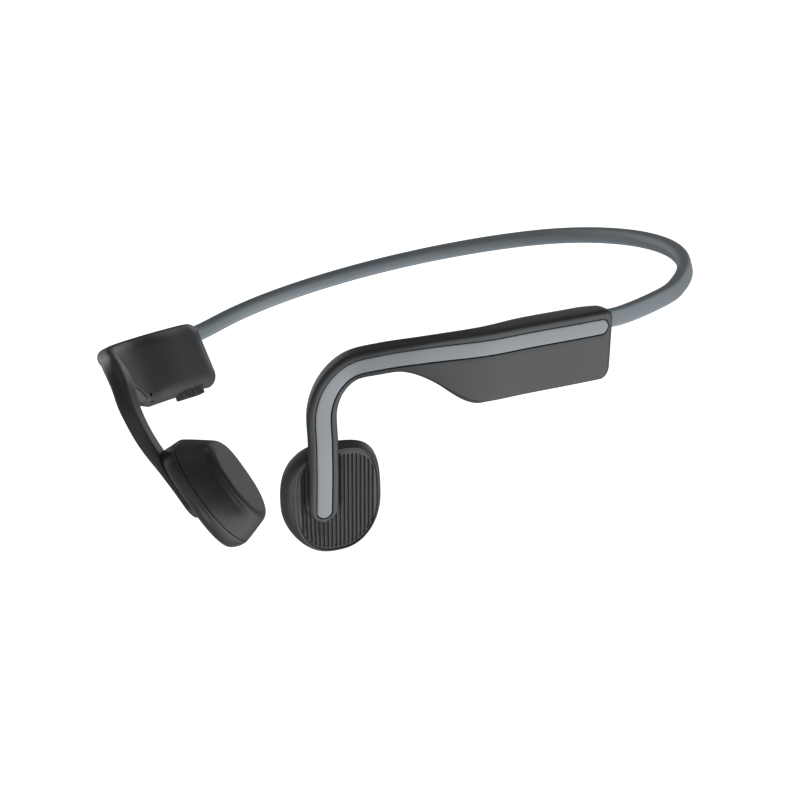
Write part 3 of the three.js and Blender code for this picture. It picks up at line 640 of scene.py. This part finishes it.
def ribbed_plate(name, material, mirrored):
    """The plate as columns of points along its ribs, which stop short of the arm."""
    outline = turned(plate_ring(PLATE_INSET + 0.08, 0), -RIB_TURN)
    left, right = outline[:, 0].argmin(), outline[:, 0].argmax()
    ring = np.roll(outline, -right, axis=0)
    far = (left - right) % len(ring)
    upper, lower = ring[:far + 1][::-1], np.vstack([ring[far:], ring[:1]])
    first, last = outline[left, 0], outline[right, 0]
    line = turned(arm_line(), -RIB_TURN)
    rows = (1 - np.cos(np.linspace(0, math.pi, 71))) / 2
    top = []
    for x in rib_columns(first, last):
        low = np.interp(x, lower[:, 0], lower[:, 1])
        high = np.interp(x, upper[:, 0], upper[:, 1])
        top.append(plate_column(x, low + (high - low) * rows, line, first, last))
    top = np.array(top)
    bottom = top.copy()
    bottom[..., 2] = -PLATE_THICKNESS
    points = turned(np.vstack([top.reshape(-1, 3), bottom.reshape(-1, 3)]), RIB_TURN)
    faces = slab_faces(len(top), len(rows))
    return object_from(name, from_ear(points), faces, material, mirrored, sharp=60)


# ---------------------------------------------------------------- right pod's details
def slope_points(points):
    """Points as (into the pod, up the slope, across) from the port's centre, in the pod's frame."""
    p = np.asarray(points, float)
    t = math.radians(-PORT["tilt"])
    x = p[..., 0] * math.cos(t) - p[..., 1] * math.sin(t) + PORT["up"]
    y = p[..., 0] * math.sin(t) + p[..., 1] * math.cos(t) + PORT["forward"]
    return np.stack([x, y, p[..., 2] + PORT["across"]], -1)


def rounded_rectangle(length, width, radius, steps):
    x, y = length / 2, width / 2
    return np.vstack([corner(sx * x, sy * y, sx, sy, radius, steps)
                      for sx, sy in ((1, 1), (-1, 1), (-1, -1), (1, -1))])


def at_depth(outline, depth):
    """An outline of (along, across) points as (depth, along, across)."""
    return np.stack([np.full(len(outline), depth), outline[:, 0], outline[:, 1]], -1)


def rounded_block(length, width, low, high, radius, place):
    """A prism with rounded corners. place turns (depth, along, across) into the wearer's frame."""
    outline = rounded_rectangle(length, width, radius, 7)
    return skin(np.array([place(at_depth(outline, depth)) for depth in (low, high)]))


def on_slope(points):
    return from_pod(slope_points(points))


def key_place(index):
    middle = np.array([0, KEY_FIRST + index * KEY_PITCH, KEY_ACROSS])
    return lambda p: from_pod(np.asarray(p) + middle)


def pin(centre, axis, length_half, width_half, depth, count=24):
    """A round or oval pin through centre, given like axis as (up, forward, out) in the pod."""
    axis = unit(np.array(axis, float))
    side = np.array([0.0, 1.0, 0.0])
    across = np.cross(axis, side)
    angle = np.linspace(0, 2 * math.pi, count, endpoint=False)[:, None]
    ring = length_half * np.cos(angle) * side + width_half * np.sin(angle) * across
    ends = [np.array(centre) + axis * reach for reach in (-depth, depth)]
    return skin(np.array([from_pod(ring + end) for end in ends]))


def carve_right_pod(case):
    """Cuts the port, the two key wells, the microphone hole and the light slit."""
    cutters = [
        rounded_block(FLAP_LENGTH + 2 * SEAM, FLAP_WIDTH + 2 * SEAM, PORT_OUTSIDE, FLAP_DEPTH + 0.3,
                      2.4, on_slope),
        rounded_block(SOCKET_LENGTH, SOCKET_WIDTH, 0, SOCKET_END + 0.4, 1.3, on_slope),
    ]
    for index in (0, 1):
        cutters.append(rounded_block(KEY_LENGTH + 2 * SEAM, KEY_WIDTH + 2 * SEAM, -20, KEY_WELL_TOP,
                                     0.9, key_place(index)))
    cutters.append(pin(MICROPHONE_HOLE, (-0.6, 0, -0.8), 0.6, 0.6, 1.5))
    cutters.append(pin(LIGHT_SLIT, (-0.8, 0, -0.6), 0.9, 0.22, 1.2))
    # Each cutter carries the near-black painted shade meant for the walls of its hole.
    for number, (points, faces) in enumerate(cutters):
        carve(case, object_from(f"cutter_{number}", points, faces, hole_painted_shade, True))


def port_flap(case):
    """The piece of the pod's own skin that closes the port."""
    flap = case.copy()
    flap.data = case.data.copy()
    flap.name = "port_flap"
    bpy.context.scene.collection.objects.link(flap)
    points, faces = rounded_block(FLAP_LENGTH, FLAP_WIDTH, PORT_OUTSIDE, FLAP_DEPTH, 2.3, on_slope)
    return carve(flap, object_from("flap_bounds", points, faces, soft_touch, True), "INTERSECT")


def charging_socket():
    """A metal sleeve, open towards the port cover."""
    outer = rounded_block(SOCKET_LENGTH - SEAM, SOCKET_WIDTH - SEAM, SOCKET_START, SOCKET_END,
                          1.2, on_slope)
    inner = rounded_block(SOCKET_LENGTH - 0.8, SOCKET_WIDTH - 0.8, 0, SOCKET_END - 0.4,
                          0.9, on_slope)
    sleeve = object_from("charging_socket", *outer, plated_steel, True)
    return carve(sleeve, object_from("socket_mouth", *inner, plated_steel, True))


def volume_key(name, index):
    """A rubber key with three grip slots across it."""
    outline = rounded_rectangle(KEY_LENGTH, KEY_WIDTH, 0.8, 6)
    place = key_place(index)
    rings = []
    for above, inset in ((KEY_ROOT - KEY_LOWEST, 0), (0.3, 0), (0.08, 0.1), (0, 0.3)):
        ring = outline * (1 - 2 * inset / KEY_LENGTH, 1 - 2 * inset / KEY_WIDTH)
        rings.append(place(at_depth(ring, KEY_LOWEST + above)))
    points, faces = skin(np.array(rings))
    key = object_from(name, points, faces, key_rubber, True)
    for step in (-GRIP_PITCH, 0, GRIP_PITCH):
        slot_points, slot_faces = rounded_block(
            GRIP_WIDTH, KEY_WIDTH + 1, KEY_LOWEST - 1, KEY_LOWEST + GRIP_DEPTH, 0.2,
            lambda p, s=step: place(np.asarray(p) + (0, s, 0)))
        carve(key, object_from("grip", slot_points, slot_faces, key_rubber, True))
    return key


# ---------------------------------------------------------------- materials
def new_material(name):
    material = bpy.data.materials.new(name)
    material.use_nodes = True
    return material, material.node_tree.nodes, material.node_tree.links


def moulded(name, colour, roughness, grain=900.0, bump=0.05, variation=0.12, sheen=0.0,
            metallic=0.0, cloud=35.0):
    """A moulded or painted surface: fine grain in the bump, slow drift in colour and gloss."""
    material, nodes, links = new_material(name)
    surface = nodes["Principled BSDF"]
    surface.inputs["Metallic"].default_value = metallic
    surface.inputs["Sheen Weight"].default_value = sheen
    surface.inputs["Sheen Roughness"].default_value = 0.4
    where = nodes.new("ShaderNodeTexCoord")
    drift = nodes.new("ShaderNodeTexNoise")
    drift.inputs["Scale"].default_value = cloud
    drift.inputs["Detail"].default_value = 4
    links.new(where.outputs["Object"], drift.inputs["Vector"])
    tint = nodes.new("ShaderNodeValToRGB")
    low = [c * (1 - variation) for c in colour]
    high = [min(1, c * (1 + variation)) for c in colour]
    tint.color_ramp.elements[0].position = 0.35
    tint.color_ramp.elements[1].position = 0.65
    tint.color_ramp.elements[0].color = (*low, 1)
    tint.color_ramp.elements[1].color = (*high, 1)
    links.new(drift.outputs["Fac"], tint.inputs["Fac"])
    links.new(tint.outputs["Color"], surface.inputs["Base Color"])
    gloss = nodes.new("ShaderNodeMapRange")
    gloss.inputs["To Min"].default_value = max(0.02, roughness - 0.05)
    gloss.inputs["To Max"].default_value = min(1, roughness + 0.05)
    links.new(drift.outputs["Fac"], gloss.inputs["Value"])
    links.new(gloss.outputs["Result"], surface.inputs["Roughness"])
    fine = nodes.new("ShaderNodeTexNoise")
    fine.inputs["Scale"].default_value = grain
    fine.inputs["Detail"].default_value = 3
    links.new(where.outputs["Object"], fine.inputs["Vector"])
    relief = nodes.new("ShaderNodeBump")
    relief.inputs["Strength"].default_value = bump
    relief.inputs["Distance"].default_value = 0.0001
    links.new(fine.outputs["Fac"], relief.inputs["Height"])
    links.new(relief.outputs["Normal"], surface.inputs["Normal"])
    return material


def striped(name, colour, roughness, scale, bump, metallic=1.0):
    """Drawn, brushed or wound metal: fine lines along the piece."""
    material = moulded(name, colour, roughness, metallic=metallic, variation=0.08)
    nodes, links = material.node_tree.nodes, material.node_tree.links
    lines = nodes.new("ShaderNodeTexWave")
    lines.inputs["Scale"].default_value = scale
    lines.inputs["Distortion"].default_value = 2
    lines.inputs["Detail"].default_value = 3
    links.new(nodes["Texture Coordinate"].outputs["Object"], lines.inputs["Vector"])
    relief = nodes.new("ShaderNodeBump")
    relief.inputs["Strength"].default_value = bump
    relief.inputs["Distance"].default_value = 0.00005
    links.new(lines.outputs["Fac"], relief.inputs["Height"])
    links.new(relief.outputs["Normal"], nodes["Principled BSDF"].inputs["Normal"])
    return material


def board_material():
    """Solder mask with a faint pattern of tracks."""
    material = moulded("solder_mask", (0.015, 0.09, 0.04), 0.35, variation=0.1)
    nodes, links = material.node_tree.nodes, material.node_tree.links
    tracks = nodes.new("ShaderNodeTexBrick")
    tracks.inputs["Scale"].default_value = 900
    tracks.inputs["Mortar Size"].default_value = 0.03
    links.new(nodes["Texture Coordinate"].outputs["Object"], tracks.inputs["Vector"])
    relief = nodes.new("ShaderNodeBump")
    relief.inputs["Strength"].default_value = 0.2
    relief.inputs["Distance"].default_value = 0.00005
    links.new(tracks.outputs["Fac"], relief.inputs["Height"])
    links.new(relief.outputs["Normal"], nodes["Principled BSDF"].inputs["Normal"])
    return material


soft_touch = moulded("soft_touch", (0.031, 0.032, 0.033), 0.38, grain=1500, bump=0.06)
rib_plastic = moulded("rib_plastic", (0.045, 0.046, 0.047), 0.5, grain=1500, bump=0.06)
pad_rubber = moulded("pad_rubber", (0.026, 0.027, 0.027), 0.45, grain=1800, bump=0.05)
band_silicone = moulded("band_silicone", (0.2, 0.228, 0.246), 0.5, grain=1200, bump=0.06,
                        variation=0.06)
strip_satin = moulded("strip_satin", (0.235, 0.258, 0.272), 0.33, grain=2200, bump=0.03,
                      variation=0.03)
key_rubber = moulded("key_rubber", (0.022, 0.022, 0.023), 0.5, grain=1800, bump=0.05)
# Near black: painted shade for the walls of the holes cut in the right pod; the cutters carry it.
hole_painted_shade = moulded("hole_painted_shade", (0.006, 0.006, 0.006), 0.8)
wire_metal = striped("wire_metal", (0.6, 0.6, 0.62), 0.3, 400, 0.2)
plated_steel = striped("plated_steel", (0.6, 0.61, 0.62), 0.32, 260, 0.15)
magnet_nickel = moulded("magnet_nickel", (0.55, 0.55, 0.57), 0.22, metallic=1.0, variation=0.05)
brass = striped("turned_brass", (0.72, 0.52, 0.24), 0.3, 500, 0.2)
copper = striped("copper_winding", (0.75, 0.36, 0.2), 0.38, 1400, 0.6)
bracket = moulded("bracket_plastic", (0.02, 0.021, 0.022), 0.45)
foil = striped("battery_foil", (0.6, 0.62, 0.65), 0.3, 120, 0.25)
foam = moulded("foam", (0.02, 0.02, 0.02), 0.95, grain=2500, bump=0.6)
solder_mask = board_material()

CAD_FINISH = {
    "wire": wire_metal, "battery_pad": foam, "battery_board": solder_mask, "battery": foil,
    "switch_board": solder_mask, "main_board": solder_mask, "chip": bracket,
    "exciter_magnet": magnet_nickel, "voice_coil": copper, "coil_bracket": bracket,
    "ferrule": brass, "microphone": plated_steel, "receptacle": plated_steel,
    "switch": plated_steel, "yoke": plated_steel, "top_plate": plated_steel,
    "spring_plate": plated_steel,
}


def finish_cad_nodes():
    """Gives each carried-over CAD node the first finish whose word is in its name."""
    for name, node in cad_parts.items():
        finish = next((m for word, m in CAD_FINISH.items() if word in name), soft_touch)
        for slot in node.material_slots:
            slot.material = finish


# ---------------------------------------------------------------- assembly
def build_side(side):
    mirrored = side == "right"
    body = f"{side}_side"

    half = band_half(f"band_{side}", band_silicone, mirrored)
    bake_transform(half)
    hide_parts(f"neckband_{side}", "neckband_rear")
    wire = wire_half(f"band_wire_{side}", wire_metal, mirrored)
    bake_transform(wire)
    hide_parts("neckband_wire")

    case = arm_skin(f"arm_{side}", soft_touch, mirrored)
    if mirrored:
        flap = port_flap(case)
        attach(flap, "port_cover")
        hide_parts("right_port_cover")
        socket = charging_socket()
        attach(socket, "right_side")
        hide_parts("right_usb_c_receptacle")
        carve_right_pod(case)
    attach(case, body)
    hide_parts(f"{side}_pod_case", f"{side}_pod_cover", f"{side}_ear_hook")

    strip = accent_strip(f"strip_{side}", strip_satin, mirrored)
    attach(strip, body)
    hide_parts(f"{side}_accent_strip")

    shell = transducer_shell(f"shell_{side}", soft_touch, mirrored)
    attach(shell, body)
    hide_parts(f"{side}_transducer_shell")
    pad = cheek_pad(f"pad_{side}", pad_rubber, mirrored)
    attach(pad, body)
    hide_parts(f"{side}_cheek_pad")

    plate = ribbed_plate(f"plate_{side}", rib_plastic, mirrored)
    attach(plate, body if mirrored else "multifunction_key")
    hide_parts("right_transducer_cover" if mirrored else "left_multifunction_button")


def build_keys():
    for index, name in enumerate(("volume_up", "volume_down")):
        key = volume_key(f"{name}_grip", index)
        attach(key, f"{name}_key")
        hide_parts(f"{name}_button")


build_side("left")
build_side("right")
build_keys()
finish_cad_nodes()


# ---------------------------------------------------------------- studio
def build_floor():
    """A pale light table. It shows, but what lights the object is the world alone."""
    mesh = bpy.data.meshes.new("studio_floor")
    size = 8.0
    mesh.from_pydata([(-size, -size, 0), (size, -size, 0), (size, size, 0), (-size, size, 0)], [],
                     [(0, 1, 2, 3)])
    floor = bpy.data.objects.new("studio_floor", mesh)
    bpy.context.scene.collection.objects.link(floor)
    floor.visible_diffuse = False
    floor.visible_glossy = False
    floor.visible_shadow = False
    material, nodes, links = new_material("light_table")
    surface = nodes["Principled BSDF"]
    surface.inputs["Base Color"].default_value = (0.85, 0.85, 0.85, 1)
    surface.inputs["Roughness"].default_value = 0.9
    surface.inputs["Specular IOR Level"].default_value = 0
    surface.inputs["Emission Color"].default_value = (1, 1, 1, 1)
    surface.inputs["Emission Strength"].default_value = FLOOR_GLOW
    mesh.materials.append(material)


def add_soft_box(nodes, links, where, total, box):
    """Adds one soft round patch of light to a chain of sums."""
    direction, outer, inner, brightness = box
    aim = nodes.new("ShaderNodeVectorMath")
    aim.operation = "DOT_PRODUCT"
    links.new(where.outputs["Generated"], aim.inputs[0])
    aim.inputs[1].default_value = Vector(direction).normalized()
    patch = nodes.new("ShaderNodeMapRange")
    patch.interpolation_type = "SMOOTHSTEP"
    patch.inputs["From Min"].default_value = outer
    patch.inputs["From Max"].default_value = inner
    patch.inputs["To Max"].default_value = brightness
    links.new(aim.outputs["Value"], patch.inputs["Value"])
    both = nodes.new("ShaderNodeMath")
    both.operation = "ADD"
    links.new(total, both.inputs[0])
    links.new(patch.outputs["Result"], both.inputs[1])
    return both.outputs["Value"]


def build_light():
    """A dim room with soft boxes. The room itself is seen as plain white."""
    world = bpy.data.worlds.new("studio")
    world.use_nodes = True
    nodes, links = world.node_tree.nodes, world.node_tree.links
    lit = nodes["Background"]
    lit.inputs["Color"].default_value = (0.97, 0.985, 1, 1)
    seen = nodes.new("ShaderNodeBackground")
    seen.inputs["Color"].default_value = (1, 1, 1, 1)
    seen.inputs["Strength"].default_value = 1.2
    where = nodes.new("ShaderNodeTexCoord")
    split = nodes.new("ShaderNodeSeparateXYZ")
    links.new(where.outputs["Generated"], split.inputs["Vector"])
    share = nodes.new("ShaderNodeMapRange")
    share.inputs["From Min"].default_value = -1
    links.new(split.outputs["Z"], share.inputs["Value"])
    sky = nodes.new("ShaderNodeValToRGB")
    sky.color_ramp.interpolation = "EASE"
    while len(sky.color_ramp.elements) < len(SKY):
        sky.color_ramp.elements.new(0.5)
    for element, (height, brightness) in zip(sky.color_ramp.elements, SKY):
        element.position = (height + 1) / 2
        element.color = (brightness, brightness, brightness, 1)
    links.new(share.outputs["Result"], sky.inputs["Fac"])
    total = sky.outputs["Color"]
    for box in SOFT_BOXES:
        total = add_soft_box(nodes, links, where, total, box)
    links.new(total, lit.inputs["Strength"])
    path = nodes.new("ShaderNodeLightPath")
    choose = nodes.new("ShaderNodeMixShader")
    links.new(path.outputs["Is Camera Ray"], choose.inputs["Fac"])
    links.new(lit.outputs["Background"], choose.inputs[1])
    links.new(seen.outputs["Background"], choose.inputs[2])
    links.new(choose.outputs["Shader"], nodes["World Output"].inputs["Surface"])
    bpy.context.scene.world = world
    view = bpy.context.scene.view_settings
    view.view_transform = "Standard"
    view.look = "None"


def build_camera():
    turn_cos, turn_sin = math.cos(CAMERA_TURN), math.sin(CAMERA_TURN)
    tip_cos, tip_sin = math.cos(CAMERA_TIP), math.sin(CAMERA_TIP)
    roll_cos, roll_sin = math.cos(CAMERA_ROLL), math.sin(CAMERA_ROLL)
    right = np.array([turn_sin, turn_cos, 0])
    up = np.array([-turn_cos * tip_sin, turn_sin * tip_sin, tip_cos])
    ahead = np.array([-turn_cos * tip_cos, turn_sin * tip_cos, -tip_sin])
    right, up = roll_cos * right + roll_sin * up, -roll_sin * right + roll_cos * up
    place = to_row(-CAMERA_ACROSS * right - CAMERA_UP * up - CAMERA_DISTANCE * ahead)
    data = bpy.data.cameras.new("camera")
    data.sensor_fit = "HORIZONTAL"
    data.sensor_width = SENSOR
    data.lens = FOCAL
    data.clip_start, data.clip_end = 0.01, 50
    camera = bpy.data.objects.new("camera", data)
    axes = np.stack([right, up, -ahead], 1)
    camera.matrix_world = Matrix.Translation(Vector(place)) @ Matrix(axes.tolist()).to_4x4()
    bpy.context.scene.collection.objects.link(camera)
    bpy.context.scene.camera = camera


build_floor()
build_light()
build_camera()
